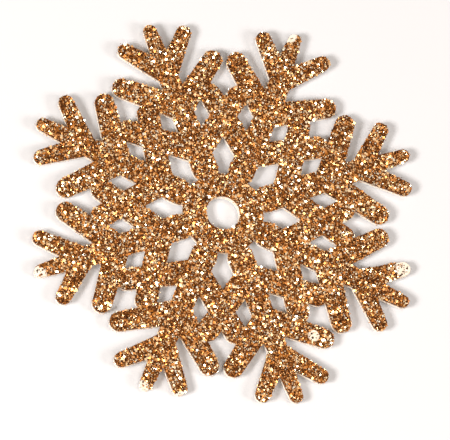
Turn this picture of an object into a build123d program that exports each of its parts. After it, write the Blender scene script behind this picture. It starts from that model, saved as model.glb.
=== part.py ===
from build123d import *
import os
import random
from math import acos, atan2, cos, hypot, radians, sin

# A glittered snowflake star: eight arms, die-cut in one piece from thick board, in millimetres.
# The origin is the centre of the middle hole, on the bare back of the board.
# +Z points out of the glittered face. arm_1 lies along +X, and the others follow anticlockwise.

# Driving dimensions
STAR_REACH = 50.0  # from the middle of the hole to the end of an arm, glitter included
ARM_COUNT = 8
HOLE_RADIUS = 4.2
HUB_RADIUS = 10.0
CORNER_RADIUS = 0.25  # the die and the glue leave the inner corners this round

# Layers, from the table up
CORE_THICKNESS = 1.3  # pressed solid board
LINER_THICKNESS = 0.2  # white facing paper
GLUE_THICKNESS = 0.1
COAT_THICKNESS = 0.25  # bed of glitter on the face
COAT_ON_EDGE = 0.15  # the same coat, where it hangs over the cut edge
BARE_EDGE = 1.3  # height of cut edge, from the back up, that stays bare

# Fingers of an arm that lies along +X: root centre, half width there, tip centre, half width there.
# A finger is the straight-sided shape round its two circles, so it tapers to a round tip.
MIDDLE_TIP_HALF = 1.6
SPINE = ((11.8, 0), 3.2, (36.9, 0), 2.4)
BRANCH = ((16.4, 0), 2.95, (26.4, 14.6), 2.65)
LEAF = ((27.9, 0), 3.0, (37.0, 12.05), 2.4)
OUTER_TINE = ((36.8, 0), 2.5, (45.5, 7.75), 1.85)
MIDDLE_TINE = ((28.5, 0), 2.95, (STAR_REACH - MIDDLE_TIP_HALF, 0), MIDDLE_TIP_HALF)

# One arm came out of line, and the leaves beside the gap that it narrows lean with it
BENT_ARM = 2
TRIDENT_LEAN = 4.0  # degrees anticlockwise
TRIDENT_SHIFT = 0.6  # further out along the arm
OPENED_LEAF = 2.5  # degrees away from the bent arm's spine, on the side of the arm before it
CLOSED_LEAF = 2.3  # degrees towards that arm's own spine

# Where the coat missed or rubbed off: the arm, then the spot's centre and radius as if it lay along +X
BARE_SPOTS = [
    (2, (49.6, 3.2), 2.2),
    (5, (49.6, 0.8), 2.4),
    (6, (49.8, -0.6), 1.9),
    (6, (47.8, 9.3), 1.9),
    (7, (35.6, 9.8), 1.5),
    (8, (46.8, 8.5), 3.6),
]

# Coarse flakes that stand proud of the coat, as separate hexagons of foil
FLAKE_ACROSS = 0.9
FLAKE_THICKNESS = 0.06
FLAKE_LEAN = 9.0  # the most that a flake leans about each axis, in degrees
FLAKE_SPACING = 1.3  # centre to centre, at least
FLAKES_PER_ARM = 24
FLAKES_ON_HUB = 24
SEED = 7

FACE_OF_BOARD = CORE_THICKNESS + LINER_THICKNESS
TOP_OF_GLUE = FACE_OF_BOARD + GLUE_THICKNESS
TOP_OF_COAT = TOP_OF_GLUE + COAT_THICKNESS


def turned(finger, angle, shift=0.0):
    """A finger turned about its own root centre by an angle in degrees, and moved along the arm."""
    (root_x, root_y), root_half, (tip_x, tip_y), tip_half = finger
    c, s = cos(radians(angle)), sin(radians(angle))
    run_x, run_y = tip_x - root_x, tip_y - root_y
    new_tip = (root_x + shift + c * run_x - s * run_y, root_y + s * run_x + c * run_y)
    return ((root_x + shift, root_y), root_half, new_tip, tip_half)


def other_side(finger):
    """The same finger on the other side of the arm's spine."""
    (root_x, root_y), root_half, (tip_x, tip_y), tip_half = finger
    return ((root_x, -root_y), root_half, (tip_x, -tip_y), tip_half)


def arm_fingers(number):
    """The fingers of one arm, as if it lay along +X."""
    left_leaf, right_leaf = LEAF, other_side(LEAF)
    trident = [OUTER_TINE, MIDDLE_TINE, other_side(OUTER_TINE)]
    if number == BENT_ARM:
        right_leaf = turned(right_leaf, -OPENED_LEAF)
        trident = [turned(tine, TRIDENT_LEAN, TRIDENT_SHIFT) for tine in trident]
    if number == BENT_ARM - 1:
        left_leaf = turned(left_leaf, -CLOSED_LEAF)
    return [SPINE, BRANCH, other_side(BRANCH), left_leaf, right_leaf] + trident


def finger_face(finger, inset):
    """One finger as a flat face, with its edge moved in by the inset."""
    root, root_half, tip, tip_half = finger
    run_x, run_y = tip[0] - root[0], tip[1] - root[1]
    heading = atan2(run_y, run_x)
    swing = acos((root_half - tip_half) / hypot(run_x, run_y))  # from the run to where the sides touch
    ends = (Pos(*root) * Circle(root_half - inset), Pos(*tip) * Circle(tip_half - inset))
    corners = []
    for (x, y), half, angle in (
        (root, root_half, heading - swing),
        (tip, tip_half, heading - swing),
        (tip, tip_half, heading + swing),
        (root, root_half, heading + swing),
    ):
        corners.append((x + (half - inset) * cos(angle), y + (half - inset) * sin(angle)))
    return Polygon(*corners, align=None) + ends[0] + ends[1]


def arm_turn(number):
    """The rotation that takes an arm from +X to its place round the hub."""
    return Rot(0, 0, (number - 1) * 360 / ARM_COUNT)


def star_outline(inset):
    """The whole star as a flat sketch, with its solid edge moved in by the inset."""
    outline = Sketch() + Circle(HUB_RADIUS - inset)
    for number in range(1, ARM_COUNT + 1):
        arm = Sketch() + [finger_face(finger, inset) for finger in arm_fingers(number)]
        outline += arm_turn(number) * arm
    rounded = offset(offset(outline, CORNER_RADIUS), -CORNER_RADIUS)
    return rounded - Circle(HOLE_RADIUS)


def layer(outline, bottom, thickness):
    """A flat layer of the star, from its bottom height up."""
    return Pos(0, 0, bottom) * extrude(outline, thickness)


def glitter_coat(coat_outline, board_outline):
    """The packed glitter: a cap that hangs over the top of the cut edge, with the bare spots cut out."""
    coat = layer(coat_outline, BARE_EDGE, TOP_OF_COAT - BARE_EDGE)
    coat -= layer(board_outline, 0, TOP_OF_GLUE)
    for number, centre, radius in BARE_SPOTS:
        coat -= arm_turn(number) * Pos(*centre) * Cylinder(radius, 2 * TOP_OF_COAT + FLAKE_ACROSS)
    return coat


def spot_on_arm(rng, number):
    """A random place on an arm, where a flake lies clear of the edge and of the bare spots."""
    root, root_half, tip, tip_half = rng.choice(arm_fingers(number))
    along = rng.random()
    room = root_half + along * (tip_half - root_half) - FLAKE_ACROSS
    across = rng.uniform(-room, room)
    heading = atan2(tip[1] - root[1], tip[0] - root[0])
    x = root[0] + along * (tip[0] - root[0]) - across * sin(heading)
    y = root[1] + along * (tip[1] - root[1]) + across * cos(heading)
    for spot_number, (spot_x, spot_y), radius in BARE_SPOTS:
        if number == spot_number and hypot(x - spot_x, y - spot_y) < radius + FLAKE_ACROSS:
            return spot_on_arm(rng, number)
    turn = radians((number - 1) * 360 / ARM_COUNT)
    return x * cos(turn) - y * sin(turn), x * sin(turn) + y * cos(turn)


def spot_on_hub(rng):
    """A random place on the ring between the hole and the arms."""
    radius = rng.uniform(HOLE_RADIUS + FLAKE_ACROSS, HUB_RADIUS - FLAKE_ACROSS)
    angle = radians(rng.uniform(0, 360))
    return radius * cos(angle), radius * sin(angle)


def leaning_flake(rng, x, y):
    """A hexagonal flake that leans a little, with its lowest corner on the coat."""
    blank = extrude(RegularPolygon(FLAKE_ACROSS / 2, 6), FLAKE_THICKNESS)
    lean = Rot(rng.uniform(-FLAKE_LEAN, FLAKE_LEAN), rng.uniform(-FLAKE_LEAN, FLAKE_LEAN), 0)
    flake = lean * Rot(0, 0, rng.uniform(0, 60)) * blank
    return Pos(x, y, TOP_OF_COAT - flake.bounding_box().min.Z) * flake


def scattered_flakes(rng, pick_spot, count, taken):
    """Flakes at random spots, none nearer than the spacing to one that is already down."""
    flakes = []
    while len(flakes) < count:
        x, y = pick_spot()
        if all(hypot(x - other_x, y - other_y) > FLAKE_SPACING for other_x, other_y in taken):
            taken.append((x, y))
            flakes.append(leaning_flake(rng, x, y))
    return Compound(children=flakes)


def star_parts():
    """Every piece of the star by its node name."""
    coat_outline = star_outline(0)
    board_outline = star_outline(COAT_ON_EDGE)
    parts = {
        "card_core": layer(board_outline, 0, CORE_THICKNESS),
        "front_liner": layer(board_outline, CORE_THICKNESS, LINER_THICKNESS),
        "glue_film": layer(board_outline, FACE_OF_BOARD, GLUE_THICKNESS),
        "glitter_coat": glitter_coat(coat_outline, board_outline),
    }
    rng = random.Random(SEED)
    taken = []
    parts["hub_flakes"] = scattered_flakes(rng, lambda: spot_on_hub(rng), FLAKES_ON_HUB, taken)
    for number in range(1, ARM_COUNT + 1):
        pick_spot = lambda arm=number: spot_on_arm(rng, arm)
        parts[f"arm_{number}_flakes"] = scattered_flakes(rng, pick_spot, FLAKES_PER_ARM, taken)
    return parts


os.makedirs("parts", exist_ok=True)
for node, shape in star_parts().items():
    export_step(shape, f"parts/{node}.step")
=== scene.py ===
import math

import bpy
from mathutils import Matrix, Vector


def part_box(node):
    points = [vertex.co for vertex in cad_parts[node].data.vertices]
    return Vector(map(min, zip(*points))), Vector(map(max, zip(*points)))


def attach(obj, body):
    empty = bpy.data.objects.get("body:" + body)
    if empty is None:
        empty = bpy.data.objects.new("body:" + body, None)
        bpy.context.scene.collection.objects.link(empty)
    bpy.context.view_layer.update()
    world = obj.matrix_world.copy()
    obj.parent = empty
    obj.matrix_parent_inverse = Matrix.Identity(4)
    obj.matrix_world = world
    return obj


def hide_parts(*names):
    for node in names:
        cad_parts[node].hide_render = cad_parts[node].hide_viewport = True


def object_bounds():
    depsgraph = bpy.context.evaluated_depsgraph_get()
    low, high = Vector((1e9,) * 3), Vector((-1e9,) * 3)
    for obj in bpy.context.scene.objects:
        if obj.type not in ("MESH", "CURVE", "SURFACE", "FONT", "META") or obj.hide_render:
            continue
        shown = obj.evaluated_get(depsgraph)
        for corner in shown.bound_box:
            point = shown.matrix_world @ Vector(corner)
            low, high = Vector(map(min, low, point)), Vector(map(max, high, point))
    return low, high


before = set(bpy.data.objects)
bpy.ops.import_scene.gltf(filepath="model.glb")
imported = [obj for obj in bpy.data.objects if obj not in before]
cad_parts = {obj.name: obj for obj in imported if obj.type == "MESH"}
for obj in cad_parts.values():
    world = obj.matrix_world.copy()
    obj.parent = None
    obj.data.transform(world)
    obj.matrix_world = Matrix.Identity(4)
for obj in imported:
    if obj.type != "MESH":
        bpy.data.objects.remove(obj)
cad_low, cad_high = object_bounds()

# The board: thick solid board pressed from pale pulp, die-cut in one stroke. It carries everything
# and shows bare on the back and along the cut edges. It is cream, matt and flecked with fibres,
# because nobody prints or seals the back of a craft blank.


def new_material(name):
    """An empty node material with its output and a Principled shader that is joined to it."""
    material = bpy.data.materials.new(name)
    material.use_nodes = True
    tree = material.node_tree
    tree.nodes.clear()
    shader = tree.nodes.new("ShaderNodeBsdfPrincipled")
    output = tree.nodes.new("ShaderNodeOutputMaterial")
    tree.links.new(shader.outputs["BSDF"], output.inputs["Surface"])
    return material, tree, shader


def colour_ramp(tree, factor, stops):
    """A ramp through the stops, each a place and a colour, driven by the factor."""
    ramp = tree.nodes.new("ShaderNodeValToRGB")
    elements = ramp.color_ramp.elements
    while len(elements) < len(stops):
        elements.new(0.5)
    for element, (place, colour) in zip(elements, stops):
        element.position = place
        element.color = (*colour, 1.0)
    tree.links.new(factor, ramp.inputs["Fac"])
    return ramp.outputs["Color"]


def paper_fibre_group():
    """Paper fibre: a mottle, long fibres and dark flecks, and the height that goes with them."""
    group = bpy.data.node_groups.new("paper_fibre", "ShaderNodeTree")
    group.interface.new_socket("Fibre Size", in_out="INPUT", socket_type="NodeSocketFloat")
    group.interface.new_socket("Mottle", in_out="OUTPUT", socket_type="NodeSocketFloat")
    group.interface.new_socket("Fleck", in_out="OUTPUT", socket_type="NodeSocketFloat")
    group.interface.new_socket("Height", in_out="OUTPUT", socket_type="NodeSocketFloat")
    nodes, links = group.nodes, group.links
    inlet = nodes.new("NodeGroupInput")
    outlet = nodes.new("NodeGroupOutput")
    place = nodes.new("ShaderNodeTexCoord")
    per_size = nodes.new("ShaderNodeMath")
    per_size.operation = "DIVIDE"
    per_size.inputs[0].default_value = 1.0
    links.new(inlet.outputs["Fibre Size"], per_size.inputs[1])

    mottle = nodes.new("ShaderNodeTexNoise")
    mottle.inputs["Detail"].default_value = 6.0
    mottle.inputs["Roughness"].default_value = 0.62
    coarse = nodes.new("ShaderNodeMath")
    coarse.operation = "MULTIPLY"
    coarse.inputs[1].default_value = 0.12
    links.new(per_size.outputs[0], coarse.inputs[0])
    links.new(place.outputs["Object"], mottle.inputs["Vector"])
    links.new(coarse.outputs[0], mottle.inputs["Scale"])

    fibre = nodes.new("ShaderNodeTexNoise")
    fibre.inputs["Detail"].default_value = 3.0
    fibre.inputs["Distortion"].default_value = 2.4
    stretch = nodes.new("ShaderNodeMapping")
    stretch.inputs["Scale"].default_value = (0.22, 1.0, 1.0)
    links.new(place.outputs["Object"], stretch.inputs["Vector"])
    links.new(stretch.outputs["Vector"], fibre.inputs["Vector"])
    links.new(per_size.outputs[0], fibre.inputs["Scale"])

    speck = nodes.new("ShaderNodeTexVoronoi")
    speck.inputs["Randomness"].default_value = 1.0
    links.new(place.outputs["Object"], speck.inputs["Vector"])
    speck_scale = nodes.new("ShaderNodeMath")
    speck_scale.operation = "MULTIPLY"
    speck_scale.inputs[1].default_value = 0.55
    links.new(per_size.outputs[0], speck_scale.inputs[0])
    links.new(speck_scale.outputs[0], speck.inputs["Scale"])
    speck_edge = nodes.new("ShaderNodeMapRange")
    speck_edge.inputs["From Min"].default_value = 0.10
    speck_edge.inputs["From Max"].default_value = 0.20
    speck_edge.inputs["To Min"].default_value = 1.0
    speck_edge.inputs["To Max"].default_value = 0.0
    links.new(speck.outputs["Distance"], speck_edge.inputs["Value"])

    height = nodes.new("ShaderNodeMath")
    height.operation = "MULTIPLY_ADD"
    height.inputs[1].default_value = 0.7
    links.new(fibre.outputs["Fac"], height.inputs[0])
    links.new(mottle.outputs["Fac"], height.inputs[2])

    links.new(mottle.outputs["Fac"], outlet.inputs["Mottle"])
    links.new(speck_edge.outputs["Result"], outlet.inputs["Fleck"])
    links.new(height.outputs[0], outlet.inputs["Height"])
    return group


PAPER_FIBRE = paper_fibre_group()


def paper_material(name, fibre_size, pale, deep, fleck, relief):
    """Uncoated paper or board: mottled from pale to deep, with flecks, rough and faintly raised."""
    material, tree, shader = new_material(name)
    fibre = tree.nodes.new("ShaderNodeGroup")
    fibre.node_tree = PAPER_FIBRE
    fibre.inputs["Fibre Size"].default_value = fibre_size
    body = colour_ramp(tree, fibre.outputs["Mottle"], [(0.32, deep), (0.68, pale)])
    flecked = tree.nodes.new("ShaderNodeMix")
    flecked.data_type = "RGBA"
    tree.links.new(fibre.outputs["Fleck"], flecked.inputs["Factor"])
    tree.links.new(body, flecked.inputs["A"])
    flecked.inputs["B"].default_value = (*fleck, 1.0)
    tree.links.new(flecked.outputs["Result"], shader.inputs["Base Color"])
    bump = tree.nodes.new("ShaderNodeBump")
    bump.inputs["Distance"].default_value = relief
    bump.inputs["Strength"].default_value = 0.6
    tree.links.new(fibre.outputs["Height"], bump.inputs["Height"])
    tree.links.new(bump.outputs["Normal"], shader.inputs["Normal"])
    shader.inputs["Roughness"].default_value = 0.86
    shader.inputs["Specular IOR Level"].default_value = 0.25
    return material


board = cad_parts["card_core"]
board.material_slots[0].material = paper_material(
    "pressed_board",
    fibre_size=0.0006,
    pale=(0.88, 0.82, 0.74),
    deep=(0.78, 0.70, 0.60),
    fleck=(0.55, 0.44, 0.33),
    relief=0.00006,
)

# The facing paper: a cream-white sheet laminated to the front of the board before it was cut.
# Only its edge and what the glue lets through can be seen, at the tips that the glitter missed.

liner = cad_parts["front_liner"]
liner.material_slots[0].material = paper_material(
    "facing_paper",
    fibre_size=0.00035,
    pale=(0.86, 0.79, 0.69),
    deep=(0.76, 0.68, 0.57),
    fleck=(0.62, 0.52, 0.40),
    relief=0.00002,
)

# The glue: clear craft glue spread over the paper by brush, dried to a thin uneven film. It holds
# the glitter. Where it shows, the cream paper comes through it a little warmer and shinier.

GLUE_BODY = (0.84, 0.745, 0.635)
GLUE_THICK = (0.72, 0.59, 0.46)
BRUSH_MARKS_PER_METRE = 900.0
GLUE_RELIEF = 0.00012
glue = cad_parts["glue_film"]
glue_material, glue_tree, glue_shader = new_material("dried_glue")
glue_place = glue_tree.nodes.new("ShaderNodeTexCoord")
brush_marks = glue_tree.nodes.new("ShaderNodeTexNoise")
brush_marks.inputs["Scale"].default_value = BRUSH_MARKS_PER_METRE
brush_marks.inputs["Detail"].default_value = 5.0
brush_marks.inputs["Distortion"].default_value = 0.8
glue_tree.links.new(glue_place.outputs["Object"], brush_marks.inputs["Vector"])
glue_stops = [(0.35, GLUE_THICK), (0.6, GLUE_BODY)]
glue_colour = colour_ramp(glue_tree, brush_marks.outputs["Fac"], glue_stops)
glue_tree.links.new(glue_colour, glue_shader.inputs["Base Color"])
glue_bump = glue_tree.nodes.new("ShaderNodeBump")
glue_bump.inputs["Distance"].default_value = GLUE_RELIEF
glue_bump.inputs["Strength"].default_value = 0.7
glue_tree.links.new(brush_marks.outputs["Fac"], glue_bump.inputs["Height"])
glue_tree.links.new(glue_bump.outputs["Normal"], glue_shader.inputs["Normal"])
glue_shader.inputs["Roughness"].default_value = 0.55
glue.material_slots[0].material = glue_material

# The bed of glitter: the finest flakes and the dust, sunk in the glue over the face, and hanging
# over the top of the cut edge. It shows as small facets in the gaps between the larger flakes, in a
# colour from near black to dark copper: the copper of the grains, darkened as painted shade for the
# gaps.

BED_GRAIN = 0.00024
BED_LEAN = 0.9  # how far a grain's facet tips from the surface, as a share of its normal
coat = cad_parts["glitter_coat"]
bed_material, bed_tree, bed_shader = new_material("glitter_bed")
bed_place = bed_tree.nodes.new("ShaderNodeTexCoord")
grains = bed_tree.nodes.new("ShaderNodeTexVoronoi")
grains.inputs["Scale"].default_value = 1.0 / BED_GRAIN
bed_tree.links.new(bed_place.outputs["Object"], grains.inputs["Vector"])
grain_parts = bed_tree.nodes.new("ShaderNodeSeparateColor")
bed_tree.links.new(grains.outputs["Color"], grain_parts.inputs["Color"])
# Near black to dark copper: the copper of the fine grains, darkened as painted shade for the gaps.
bed_colour_and_gap_shade = colour_ramp(
    bed_tree,
    grain_parts.outputs["Red"],
    [(0.0, (0.02, 0.007, 0.0015)), (0.45, (0.10, 0.028, 0.005)), (1.0, (0.34, 0.11, 0.02))],
)
bed_tree.links.new(bed_colour_and_gap_shade, bed_shader.inputs["Base Color"])
centred = bed_tree.nodes.new("ShaderNodeVectorMath")
centred.operation = "SUBTRACT"
centred.inputs[1].default_value = (0.5, 0.5, 0.5)
bed_tree.links.new(grains.outputs["Color"], centred.inputs[0])
leaning = bed_tree.nodes.new("ShaderNodeVectorMath")
leaning.operation = "SCALE"
leaning.inputs["Scale"].default_value = BED_LEAN
bed_tree.links.new(centred.outputs["Vector"], leaning.inputs[0])
bed_geometry = bed_tree.nodes.new("ShaderNodeNewGeometry")
tipped = bed_tree.nodes.new("ShaderNodeVectorMath")
tipped.operation = "ADD"
bed_tree.links.new(bed_geometry.outputs["Normal"], tipped.inputs[0])
bed_tree.links.new(leaning.outputs["Vector"], tipped.inputs[1])
facet = bed_tree.nodes.new("ShaderNodeVectorMath")
facet.operation = "NORMALIZE"
bed_tree.links.new(tipped.outputs["Vector"], facet.inputs[0])
bed_tree.links.new(facet.outputs["Vector"], bed_shader.inputs["Normal"])
bed_shader.inputs["Metallic"].default_value = 0.85
bed_shader.inputs["Roughness"].default_value = 0.38
coat.material_slots[0].material = bed_material

# The flakes: hexagons cut from copper-coloured polyester film, 0.27 to 0.75 mm across and mostly
# near 0.35. They were shaken over the wet glue, so they lie at every small angle and cross each
# other, and some stand out past the edge.

FLAKE_RADIUS = 0.0003
FLAKE_THICKNESS = 0.00003
FLAKE_SIDES = 6
SMALL_FLAKE = 0.51  # size of the small flakes, as a share of the blank's
LARGE_FLAKE_EXTRA = 0.74  # the most that a large flake adds to that share
LARGE_FLAKE_RARITY = 3.0  # the higher, the fewer large flakes
LARGE_FLAKE_REST = 0.55  # how much flatter the largest flake lies than the smallest
LEAST_LEAN = 0.25  # share of the full lean
DENSEST = 4.0e7  # flakes in a square metre before the spacing thins them
BURIED = 0.00008  # nearer to the coat than this, a flake on the glue is under it
LOWEST_FLAKE = 0.0004  # height over the back of the board
EDGE_LOOSENESS = 3.0  # how much further flakes sink and stand on the cut edge than on the face
RIM_ANGLE = 1.0  # an edge sharper than this is a rim
RIM_REACH = 0.0004  # flakes nearer to a rim than this are made smaller
RIM_SIZE = 0.9  # share of its size that a flake keeps right on the rim
MAP_REACH = 0.21  # half width of a flake's face on the map
MAP_SKIRT = 0.25  # the same for the lower edge of its side


def flake_blank():
    """One flake at the origin, with a map that puts its two faces side by side in a square."""
    bpy.ops.object.select_all(action="DESELECT")
    bpy.ops.mesh.primitive_cylinder_add(
        vertices=FLAKE_SIDES, radius=FLAKE_RADIUS, depth=FLAKE_THICKNESS, end_fill_type="NGON"
    )
    blank = bpy.context.object
    blank.name = "flake_blank"
    uv_map = blank.data.uv_layers.active
    uv_map.name = "flake_square"
    for face in blank.data.polygons:
        on_back = face.normal.z < -0.5
        for corner in face.loop_indices:
            spot = blank.data.vertices[blank.data.loops[corner].vertex_index].co
            reach = MAP_REACH
            if abs(face.normal.z) < 0.5 and spot.z < 0:
                reach = MAP_SKIRT
            middle = 0.75 if on_back else 0.25
            uv_map.uv[corner].vector = (
                middle + reach * spot.x / FLAKE_RADIUS,
                0.5 + reach * spot.y / FLAKE_RADIUS,
            )
    return blank


def scatter_group():
    """Geometry nodes that turn a skin into the flakes lying on it, each with its own cell of the map."""
    group = bpy.data.node_groups.new("scatter_flakes", "GeometryNodeTree")
    group.is_modifier = True
    sockets = {}
    for name, kind in (
        ("Skin", "NodeSocketGeometry"),
        ("Flake", "NodeSocketObject"),
        ("Covered By", "NodeSocketObject"),
        ("Spacing", "NodeSocketFloat"),
        ("Lean", "NodeSocketFloat"),
        ("Sink", "NodeSocketFloat"),
        ("Stand", "NodeSocketFloat"),
        ("Share Kept", "NodeSocketFloat"),
        ("Seed", "NodeSocketInt"),
    ):
        sockets[name] = group.interface.new_socket(name, in_out="INPUT", socket_type=kind).identifier
    group.interface.new_socket("Flakes", in_out="OUTPUT", socket_type="NodeSocketGeometry")
    nodes, link = group.nodes, group.links.new
    inlet = nodes.new("NodeGroupInput").outputs
    outlet = nodes.new("NodeGroupOutput").inputs

    def chance(low, high, salt, kind="FLOAT"):
        """A random value for each flake, drawn afresh for each salt."""
        pick = nodes.new("FunctionNodeRandomValue")
        pick.data_type = kind
        mixed = nodes.new("ShaderNodeMath")
        mixed.inputs[1].default_value = salt
        link(inlet["Seed"], mixed.inputs[0])
        link(mixed.outputs[0], pick.inputs["Seed"])
        offset = 0 if kind == "FLOAT_VECTOR" else 2
        for socket, value in ((pick.inputs[offset], low), (pick.inputs[offset + 1], high)):
            if hasattr(value, "links"):
                link(value, socket)
            else:
                socket.default_value = value
        return pick.outputs[0 if kind == "FLOAT_VECTOR" else 1]

    def math_node(operation, first, second=None):
        """A Math node on one or two values."""
        node = nodes.new("ShaderNodeMath")
        node.operation = operation
        for socket, value in zip(node.inputs, (first, second)):
            if hasattr(value, "links"):
                link(value, socket)
            elif value is not None:
                socket.default_value = value
        return node.outputs[0]

    spread = nodes.new("GeometryNodeDistributePointsOnFaces")
    spread.distribute_method = "POISSON"
    spread.inputs["Density Max"].default_value = DENSEST
    link(inlet["Skin"], spread.inputs["Mesh"])
    link(inlet["Spacing"], spread.inputs["Distance Min"])
    link(inlet["Seed"], spread.inputs["Seed"])

    cover = nodes.new("GeometryNodeObjectInfo")
    link(inlet["Covered By"], cover.inputs["Object"])
    near = nodes.new("GeometryNodeProximity")
    near.target_element = "FACES"
    link(cover.outputs["Geometry"], near.inputs[0])
    hidden = nodes.new("FunctionNodeCompare")
    hidden.data_type = "FLOAT"
    hidden.operation = "LESS_THAN"
    hidden.inputs[1].default_value = BURIED
    link(near.outputs["Distance"], hidden.inputs[0])
    height = nodes.new("ShaderNodeSeparateXYZ")
    link(nodes.new("GeometryNodeInputPosition").outputs["Position"], height.inputs["Vector"])
    too_low = math_node("LESS_THAN", height.outputs["Z"], LOWEST_FLAKE)
    fallen = math_node("GREATER_THAN", chance(0.0, 1.0, 7), inlet["Share Kept"])
    covered = math_node("MULTIPLY", hidden.outputs[0], near.outputs["Is Valid"])
    seen = nodes.new("GeometryNodeDeleteGeometry")
    seen.domain = "POINT"
    link(spread.outputs["Points"], seen.inputs["Geometry"])
    link(math_node("MAXIMUM", math_node("MAXIMUM", covered, fallen), too_low), seen.inputs["Selection"])

    corner_turn = nodes.new("GeometryNodeInputMeshEdgeAngle").outputs["Unsigned Angle"]
    on_rim = math_node("GREATER_THAN", corner_turn, RIM_ANGLE)
    rim = nodes.new("GeometryNodeDeleteGeometry")
    rim.domain = "EDGE"
    rim.mode = "EDGE_FACE"
    link(inlet["Skin"], rim.inputs["Geometry"])
    link(math_node("SUBTRACT", 1.0, on_rim), rim.inputs["Selection"])
    to_rim = nodes.new("GeometryNodeProximity")
    to_rim.target_element = "EDGES"
    link(rim.outputs["Geometry"], to_rim.inputs[0])
    fit = nodes.new("ShaderNodeMapRange")
    fit.inputs["From Max"].default_value = RIM_REACH
    fit.inputs["To Min"].default_value = RIM_SIZE
    link(to_rim.outputs["Distance"], fit.inputs["Value"])
    fitting = fit.outputs["Result"]

    facing = nodes.new("ShaderNodeSeparateXYZ")
    link(spread.outputs["Normal"], facing.inputs["Vector"])
    on_edge = math_node("SUBTRACT", 1.0, facing.outputs["Z"])
    loose = math_node("ADD", 1.0, math_node("MULTIPLY", on_edge, EDGE_LOOSENESS))
    lift = nodes.new("ShaderNodeVectorMath")
    lift.operation = "SCALE"
    link(spread.outputs["Normal"], lift.inputs[0])
    link(math_node("MULTIPLY", chance(inlet["Sink"], inlet["Stand"], 1), loose), lift.inputs["Scale"])
    lifted = nodes.new("GeometryNodeSetPosition")
    link(seen.outputs["Geometry"], lifted.inputs["Geometry"])
    link(lift.outputs["Vector"], lifted.inputs["Offset"])

    most = nodes.new("ShaderNodeVectorMath")
    most.operation = "SCALE"
    most.inputs[0].default_value = (1.0, 1.0, 0.0)
    link(inlet["Lean"], most.inputs["Scale"])
    least = nodes.new("ShaderNodeVectorMath")
    least.operation = "SCALE"
    least.inputs["Scale"].default_value = -1.0
    link(most.outputs["Vector"], least.inputs[0])
    lean = chance(least.outputs["Vector"], most.outputs["Vector"], 2, "FLOAT_VECTOR")
    rarely_large = math_node("POWER", chance(0.0, 1.0, 5), LARGE_FLAKE_RARITY)
    bigness = math_node("MULTIPLY", rarely_large, facing.outputs["Z"])
    flatness = math_node("SUBTRACT", 1.0, math_node("MULTIPLY", bigness, LARGE_FLAKE_REST))
    rested = nodes.new("ShaderNodeVectorMath")
    rested.operation = "SCALE"
    link(lean, rested.inputs[0])
    link(math_node("MULTIPLY", chance(LEAST_LEAN, 1.0, 3), flatness), rested.inputs["Scale"])
    spin = nodes.new("ShaderNodeCombineXYZ")
    link(chance(0.0, 2 * math.pi / FLAKE_SIDES, 4), spin.inputs["Z"])
    angles = nodes.new("ShaderNodeVectorMath")
    link(rested.outputs["Vector"], angles.inputs[0])
    link(spin.outputs["Vector"], angles.inputs[1])
    turn = nodes.new("FunctionNodeEulerToRotation")
    link(angles.outputs["Vector"], turn.inputs["Euler"])
    turned = nodes.new("FunctionNodeRotateRotation")
    turned.rotation_space = "LOCAL"
    link(spread.outputs["Rotation"], turned.inputs["Rotation"])
    link(turn.outputs["Rotation"], turned.inputs["Rotate By"])

    blank = nodes.new("GeometryNodeObjectInfo")
    link(inlet["Flake"], blank.inputs["Object"])
    placed = nodes.new("GeometryNodeInstanceOnPoints")
    link(lifted.outputs["Geometry"], placed.inputs["Points"])
    link(blank.outputs["Geometry"], placed.inputs["Instance"])
    link(turned.outputs["Rotation"], placed.inputs["Rotation"])
    size = math_node("ADD", SMALL_FLAKE, math_node("MULTIPLY", bigness, LARGE_FLAKE_EXTRA))
    link(math_node("MULTIPLY", size, fitting), placed.inputs["Scale"])

    last = placed.outputs["Instances"]
    number = nodes.new("GeometryNodeInputIndex").outputs["Index"]
    # Each flake's random pick along the foil ramps, whose stops hold the film's colours, painted shade
    # and painted glints.
    for name, value in (("flake_tint_shade_glint", chance(0.0, 1.0, 6)), ("flake_number", number)):
        kept = nodes.new("GeometryNodeStoreNamedAttribute")
        kept.data_type = "FLOAT"
        kept.domain = "INSTANCE"
        kept.inputs["Name"].default_value = name
        link(last, kept.inputs["Geometry"])
        link(value, kept.inputs["Value"])
        last = kept.outputs["Geometry"]
    real = nodes.new("GeometryNodeRealizeInstances")
    link(last, real.inputs["Geometry"])

    def named(name, kind="FLOAT"):
        """The value of a named attribute where it is read."""
        reader = nodes.new("GeometryNodeInputNamedAttribute")
        reader.data_type = kind
        reader.inputs["Name"].default_value = name
        return reader.outputs["Attribute"]

    count = nodes.new("GeometryNodeAttributeStatistic")
    link(real.outputs["Geometry"], count.inputs["Geometry"])
    link(named("flake_number"), count.inputs["Attribute"])
    row_length = math_node("CEIL", math_node("SQRT", math_node("ADD", count.outputs["Max"], 1.0)))
    flake_number = named("flake_number")
    row = math_node("FLOOR", math_node("DIVIDE", flake_number, row_length))
    column = math_node("SUBTRACT", flake_number, math_node("MULTIPLY", row, row_length))
    corner = nodes.new("ShaderNodeCombineXYZ")
    link(column, corner.inputs["X"])
    link(row, corner.inputs["Y"])
    in_cell = nodes.new("ShaderNodeVectorMath")
    link(corner.outputs["Vector"], in_cell.inputs[0])
    link(named("flake_square", "FLOAT_VECTOR"), in_cell.inputs[1])
    shrunk = nodes.new("ShaderNodeVectorMath")
    shrunk.operation = "SCALE"
    link(in_cell.outputs["Vector"], shrunk.inputs[0])
    link(math_node("DIVIDE", 1.0, row_length), shrunk.inputs["Scale"])
    mapped = nodes.new("GeometryNodeStoreNamedAttribute")
    mapped.data_type = "FLOAT2"
    mapped.domain = "CORNER"
    mapped.inputs["Name"].default_value = "OFBake"
    link(real.outputs["Geometry"], mapped.inputs["Geometry"])
    link(shrunk.outputs["Vector"], mapped.inputs["Value"])
    link(mapped.outputs["Geometry"], outlet["Flakes"])
    return group, sockets


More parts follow.
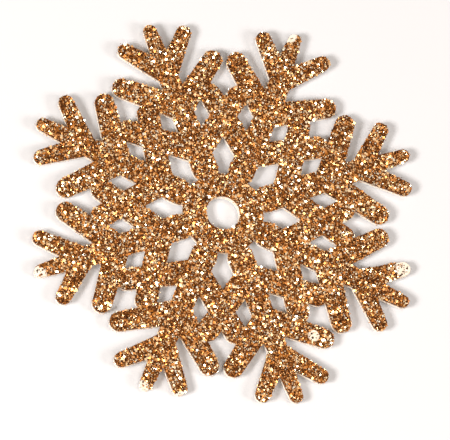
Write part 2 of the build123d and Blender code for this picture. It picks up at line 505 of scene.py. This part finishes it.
FLAKE_BLANK = flake_blank()
SCATTER, SCATTER_SOCKETS = scatter_group()
WELD = 0.000002  # points nearer than this are one
LEVEL = 0.00002  # a face that reaches this near the top is part of the upper skin


def skin_of(node, name, cuts=(), edge_only=False):
    """A copy of a CAD node's upward and outward faces, with what lies behind each cut removed."""
    skin = bpy.data.objects.new(name, node.data.copy())
    bpy.context.scene.collection.objects.link(skin)
    skin.data.materials.clear()
    bpy.ops.object.select_all(action="DESELECT")
    bpy.context.view_layer.objects.active = skin
    skin.select_set(True)
    top = max(vertex.co.z for vertex in skin.data.vertices)
    bpy.ops.object.mode_set(mode="EDIT")
    bpy.ops.mesh.select_all(action="SELECT")
    bpy.ops.mesh.remove_doubles(threshold=WELD)
    bpy.ops.mesh.select_all(action="DESELECT")
    bpy.ops.mesh.select_mode(type="FACE")
    bpy.ops.object.mode_set(mode="OBJECT")
    for face in skin.data.polygons:
        highest = max(skin.data.vertices[index].co.z for index in face.vertices)
        on_back = face.normal.z < -0.5
        on_face = face.normal.z > 0.5
        face.select = on_back or highest < top - LEVEL or (edge_only and on_face)
    bpy.ops.object.mode_set(mode="EDIT")
    bpy.ops.mesh.delete(type="FACE")
    for point, direction in cuts:
        bpy.ops.mesh.select_all(action="SELECT")
        bpy.ops.mesh.bisect(plane_co=point, plane_no=direction, clear_inner=True)
    bpy.ops.object.mode_set(mode="OBJECT")
    return skin


def lay_flakes(skin, spacing, lean, sink, stand, seed, share_kept=1.0, covered_by=None):
    """Changes a skin into the flakes that lie on it."""
    scatter = skin.modifiers.new("scatter", "NODES")
    scatter.node_group = SCATTER
    for name, value in (
        ("Flake", FLAKE_BLANK),
        ("Covered By", covered_by),
        ("Spacing", spacing),
        ("Lean", lean),
        ("Sink", sink),
        ("Stand", stand),
        ("Share Kept", share_kept),
        ("Seed", seed),
    ):
        scatter[SCATTER_SOCKETS[name]] = value
    bpy.ops.object.select_all(action="DESELECT")
    bpy.context.view_layer.objects.active = skin
    skin.select_set(True)
    bpy.ops.object.modifier_apply(modifier=scatter.name)
    skin.data.materials.clear()


def foil_material(name, stops, roughness):
    """Lacquered metal film, each flake coloured by its pick along the stops, each a place and a colour:
    the film's own colour, with painted shade at dark stops and a painted glint at pale ones.
    """
    material, tree, shader = new_material(name)
    tint_shade_glint_pick = tree.nodes.new("ShaderNodeAttribute")
    tint_shade_glint_pick.attribute_name = "flake_tint_shade_glint"
    colour = colour_ramp(tree, tint_shade_glint_pick.outputs["Fac"], stops)
    tree.links.new(colour, shader.inputs["Base Color"])
    shader.inputs["Metallic"].default_value = 0.6
    shader.inputs["Coat Weight"].default_value = 0.36
    shader.inputs["Coat Roughness"].default_value = 0.12
    shader.inputs["Specular IOR Level"].default_value = 0.15
    shader.inputs["Roughness"].default_value = roughness
    return material


# Copper ramp: the middle stops are the film's own copper to gold; the near-black end is painted shade
# for flakes facing away from the lamps, and the near-white end is a painted glint.
COPPER_FOIL_SHADE_GLINT = foil_material(
    "copper_foil_shade_glint",
    [
        (0.0, (0.06, 0.022, 0.004)),
        (0.12, (0.46, 0.15, 0.016)),
        (0.35, (0.84, 0.33, 0.085)),
        (0.6, (0.97, 0.54, 0.22)),
        (0.8, (1.0, 0.71, 0.41)),
        (0.92, (1.0, 0.82, 0.56)),
        (1.0, (1.0, 0.97, 0.86)),
    ],
    0.17,
)

ARM_COUNT = 8
HUB_HALF = 0.0100  # from the middle of the hole to where an arm's glitter takes over from the hub's
FLAKE_SPACING = 0.00034
FLAKE_LEAN = math.radians(26)
FLAKE_SINK = -0.00005
FLAKE_STAND = 0.0001
HUB_SEED = 90
hub_cuts = []
for number in range(1, ARM_COUNT + 1):
    heading = math.radians((number - 1) * 360 / ARM_COUNT)
    along = Vector((math.cos(heading), math.sin(heading), 0))
    hub_cuts.append((along * HUB_HALF, -along))
    half_turn = math.pi / ARM_COUNT
    left = Vector((math.sin(heading + half_turn), -math.cos(heading + half_turn), 0))
    right = Vector((-math.sin(heading - half_turn), math.cos(heading - half_turn), 0))
    arm_cuts = [(along * HUB_HALF, along), (Vector(), left), (Vector(), right)]
    arm_flakes = skin_of(coat, f"arm_{number}_glitter", arm_cuts)
    lay_flakes(arm_flakes, FLAKE_SPACING, FLAKE_LEAN, FLAKE_SINK, FLAKE_STAND, seed=number)
    arm_flakes.data.materials.append(COPPER_FOIL_SHADE_GLINT)
    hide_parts(f"arm_{number}_flakes")
    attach(arm_flakes, "root")
hub_flakes = skin_of(coat, "hub_glitter", hub_cuts)
lay_flakes(hub_flakes, FLAKE_SPACING, FLAKE_LEAN, FLAKE_SINK, FLAKE_STAND, seed=HUB_SEED)
hub_flakes.data.materials.append(COPPER_FOIL_SHADE_GLINT)
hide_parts("hub_flakes")
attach(hub_flakes, "root")

# The edge flakes: the same copper flakes, the small ones only, caught by glue that ran down the cut
# edge of the board. Over two fifths lie sunk in it, unseen. None reach the back, where it stays bare.

EDGE_SPACING = 0.00033
EDGE_LEAN = math.radians(24)
EDGE_STAND = 0.00004
EDGE_SHARE = 0.92
EDGE_SEED = 57
edge_flakes = skin_of(board, "edge_glitter", edge_only=True)
lay_flakes(edge_flakes, EDGE_SPACING, EDGE_LEAN, FLAKE_SINK, EDGE_STAND, EDGE_SEED, EDGE_SHARE)
edge_flakes.data.materials.append(COPPER_FOIL_SHADE_GLINT)
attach(edge_flakes, "root")

# The strays: single flakes that stuck to the glue where the coat missed the tips. With nothing round
# them to catch the light they look almost black on the cream, and a few flash. Their ramp paints this
# in: mostly near-black as painted shade, the rest rising to bright copper as painted glints.

STRAY_FOIL_PAINTED_SHADE = foil_material(
    "stray_foil_painted_shade",
    [
        (0.0, (0.02, 0.009, 0.005)),
        (0.6, (0.08, 0.03, 0.01)),
        (0.85, (0.40, 0.16, 0.05)),
        (1.0, (0.8, 0.5, 0.25)),
    ],
    0.3,
)
STRAY_SPACING = 0.0004
STRAY_LEAN = math.radians(20)
STRAY_SINK = 0.00001
STRAY_STAND = 0.00006
STRAY_SHARE = 0.62
STRAY_SEED = 31
stray_flakes = skin_of(glue, "stray_glitter")
lay_flakes(
    stray_flakes,
    STRAY_SPACING,
    STRAY_LEAN,
    STRAY_SINK,
    STRAY_STAND,
    STRAY_SEED,
    STRAY_SHARE,
    covered_by=coat,
)
stray_flakes.data.materials.append(STRAY_FOIL_PAINTED_SHADE)
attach(stray_flakes, "root")
bpy.data.objects.remove(FLAKE_BLANK)

# The table: a plain pale sheet, matt, under the star. The arms spring up a little and touch it only
# in places, so it lies a little lower than the back of the board.

TABLE_DROP = 0.0006
TABLE_WIDTH = 3.0
bpy.ops.object.select_all(action="DESELECT")
bpy.ops.mesh.primitive_plane_add(size=TABLE_WIDTH, location=(0, 0, cad_low.z - TABLE_DROP))
table = bpy.context.object
table.name = "table"
table_material, table_tree, table_shader = new_material("white_sheet")
table_shader.inputs["Base Color"].default_value = (0.615, 0.62, 0.645, 1.0)
table_shader.inputs["Roughness"].default_value = 0.9
table_shader.inputs["Specular IOR Level"].default_value = 0.1
table.data.materials.append(table_material)

# The camera looks down on the star from a little to one side, through a very long lens. The star
# lies turned on the table, so that arm_1 points to the right and a little up.

CAMERA_TILT = math.radians(22.8)
CAMERA_SIDE = math.radians(232.1)
ARM_1_TURN = math.radians(19.78)
CAMERA_DISTANCE = 2.59
VIEW_WIDTH = 0.1084
VIEW_OFFSET = (0.00044, -0.00172)
side = CAMERA_SIDE - ARM_1_TURN
face_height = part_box("glitter_coat")[1].z
away = Vector((-math.cos(side), -math.sin(side), 0))
across = Vector((-math.sin(side), math.cos(side), 0))
up_the_slope = away * math.cos(CAMERA_TILT) + Vector((0, 0, math.sin(CAMERA_TILT)))
image_right = -math.cos(CAMERA_SIDE) * up_the_slope - math.sin(CAMERA_SIDE) * across
image_up = -math.sin(CAMERA_SIDE) * up_the_slope + math.cos(CAMERA_SIDE) * across
towards_camera = image_right.cross(image_up)
target = Vector((0, 0, face_height)) + image_right * VIEW_OFFSET[0] + image_up * VIEW_OFFSET[1]
bpy.ops.object.camera_add(location=target + towards_camera * CAMERA_DISTANCE)
camera = bpy.context.object
axes = (image_right, image_up, towards_camera)
camera.rotation_euler = Matrix(axes).transposed().to_euler()
camera.data.sensor_width = 36.0
camera.data.lens = camera.data.sensor_width * CAMERA_DISTANCE / VIEW_WIDTH
camera.data.clip_start = 0.1
camera.data.clip_end = 20.0
bpy.context.scene.camera = camera

# The light: a softbox at each side and one in front, warm white, in a dim warm room. The flakes that
# lean the right way mirror a smaller one overhead, and flash white.

LAMP_COLOUR = (1.0, 0.965, 0.92)
ROOM_COLOUR = (1.0, 0.84, 0.70, 1.0)
ROOM_STRENGTH = 0.34


def softbox(name, direction, distance, size, power):
    """A square area light that faces the star."""
    data = bpy.data.lights.new(name, "AREA")
    data.shape = "SQUARE"
    data.size = size
    data.energy = power
    data.color = LAMP_COLOUR
    lamp = bpy.data.objects.new(name, data)
    lamp.location = direction.normalized() * distance
    lamp.rotation_euler = direction.to_track_quat("Z", "Y").to_euler()
    bpy.context.scene.collection.objects.link(lamp)


UP = Vector((0, 0, 1))
left = -image_right * 0.8 - image_up * 0.4 + UP
right = image_right * 1.3 - image_up * 0.55 + UP * 0.9
near = -image_up * 0.6 + UP
overhead = image_right * 0.25 + image_up * 0.3 + UP
softbox("left_softbox", left, distance=1.2, size=0.32, power=18.0)
softbox("right_softbox", right, distance=1.4, size=0.5, power=9.5)
softbox("near_softbox", near, distance=1.5, size=0.45, power=5.2)
softbox("top_softbox", overhead, distance=1.2, size=0.15, power=2.1)
world = bpy.data.worlds.new("white_room")
world.use_nodes = True
world.node_tree.nodes["Background"].inputs["Color"].default_value = ROOM_COLOUR
world.node_tree.nodes["Background"].inputs["Strength"].default_value = ROOM_STRENGTH
bpy.context.scene.world = world
bpy.context.scene.view_settings.view_transform = "Standard"
